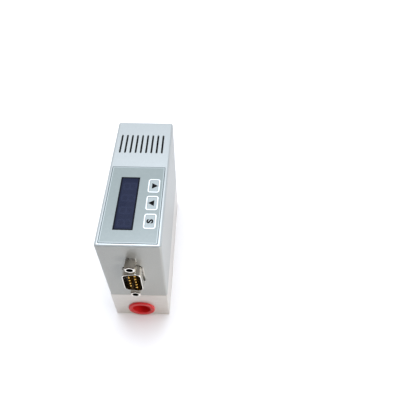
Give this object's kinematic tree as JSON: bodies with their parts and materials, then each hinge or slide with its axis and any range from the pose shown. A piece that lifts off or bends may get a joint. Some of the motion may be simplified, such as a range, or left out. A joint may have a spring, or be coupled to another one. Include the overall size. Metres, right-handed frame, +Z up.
{
  "type": "mass flow controller",
  "caption": "Compact thermal mass flow controller: steel flow block with through ports, aluminium cover with display, keys, vents and signal connector, red port plug.",
  "frame": {"origin": "centre of the flow block's bottom face, which stands on the bench or panel", "axes": "+X to the right seen from the front, +Y from the inlet end to the outlet end, +Z up; the connector end faces -Y"},
  "size_m": [0.03, 0.0848, 0.0732],
  "materials": {
    "block_steel": "fine milled stainless steel",
    "cover_aluminium": "satin clear anodised",
    "screw_steel": "bright stainless steel",
    "overlay_film": "printed satin film",
    "window_pane": "smoked clear acrylic",
    "display_body": "moulded display body",
    "circuit_board": "green glass-epoxy board",
    "black_plastic": "glass-filled moulding",
    "plunger_plastic": "moulded ivory",
    "nickel_plate": "bright nickel plate",
    "gold_plate": "gold flash over nickel",
    "chip_plastic": "moulded package",
    "capacitor_can": "drawn can",
    "copper_wire": "enamelled copper wire",
    "black_rubber": "moulded seal",
    "red_plastic": "soft moulded plastic",
    "yoke_steel": "zinc plated steel"
  },
  "bodies": {
    "controller": {"flow_block": "block_steel", "cover": "cover_aluminium", "cover_screws": "screw_steel", "keypad_overlay": "overlay_film", "display_window": "window_pane", "display_module": "display_body", "display_board": "circuit_board", "display_screws": "screw_steel", "set_switch_body": "black_plastic", "up_switch_body": "black_plastic", "down_switch_body": "black_plastic", "connector_shell": "nickel_plate", "connector_insulator": "black_plastic", "connector_rear_shell": "nickel_plate", "connector_pins": "gold_plate", "jackscrews": "nickel_plate", "jackscrew_washers": "screw_steel", "jackscrew_nuts": "screw_steel", "connector_board": "circuit_board", "main_board": "circuit_board", "connector_header": "black_plastic", "display_header": "black_plastic", "controller_chip": "chip_plastic", "amplifier_chips": "chip_plastic", "board_capacitors": "capacitor_can", "front_board_bracket": "screw_steel", "rear_board_bracket": "screw_steel", "bracket_screws": "screw_steel", "sensor_base": "block_steel", "sensor_capillary": "screw_steel", "sensor_heaters": "copper_wire", "sensor_cover": "cover_aluminium", "sensor_seals": "black_rubber", "sensor_screws": "screw_steel", "laminar_element": "block_steel", "inlet_screen": "screw_steel", "retaining_ring": "screw_steel", "port_plug": "red_plastic", "valve_seat": "block_steel", "valve_spring": "screw_steel", "guide_tube": "block_steel", "valve_screws": "screw_steel", "valve_seal": "black_rubber", "fixed_core": "screw_steel", "coil_bobbin": "black_plastic", "coil_winding": "copper_wire", "coil_yoke": "yoke_steel", "valve_nut": "screw_steel"},
    "set_key": {"set_key_plunger": "plunger_plastic"},
    "up_key": {"up_key_plunger": "plunger_plastic"},
    "down_key": {"down_key_plunger": "plunger_plastic"},
    "armature": {"valve_armature": "screw_steel", "valve_pad": "black_rubber"}
  },
  "joints": [
    {"name": "set_key_press", "type": "slide", "parent": "controller", "child": "set_key", "axis": [0, 0, -1], "range_m": [0, 0.00025], "stiffness_N_per_m": 6400},
    {"name": "up_key_press", "type": "slide", "parent": "controller", "child": "up_key", "axis": [0, 0, -1], "range_m": [0, 0.00025], "stiffness_N_per_m": 6400},
    {"name": "down_key_press", "type": "slide", "parent": "controller", "child": "down_key", "axis": [0, 0, -1], "range_m": [0, 0.00025], "stiffness_N_per_m": 6400},
    {"name": "valve_lift", "type": "slide", "parent": "controller", "child": "armature", "axis": [0, 0, 1], "range_m": [0, 0.0004], "stiffness_N_per_m": 1500, "deforming": ["valve_spring"]}
  ]
}
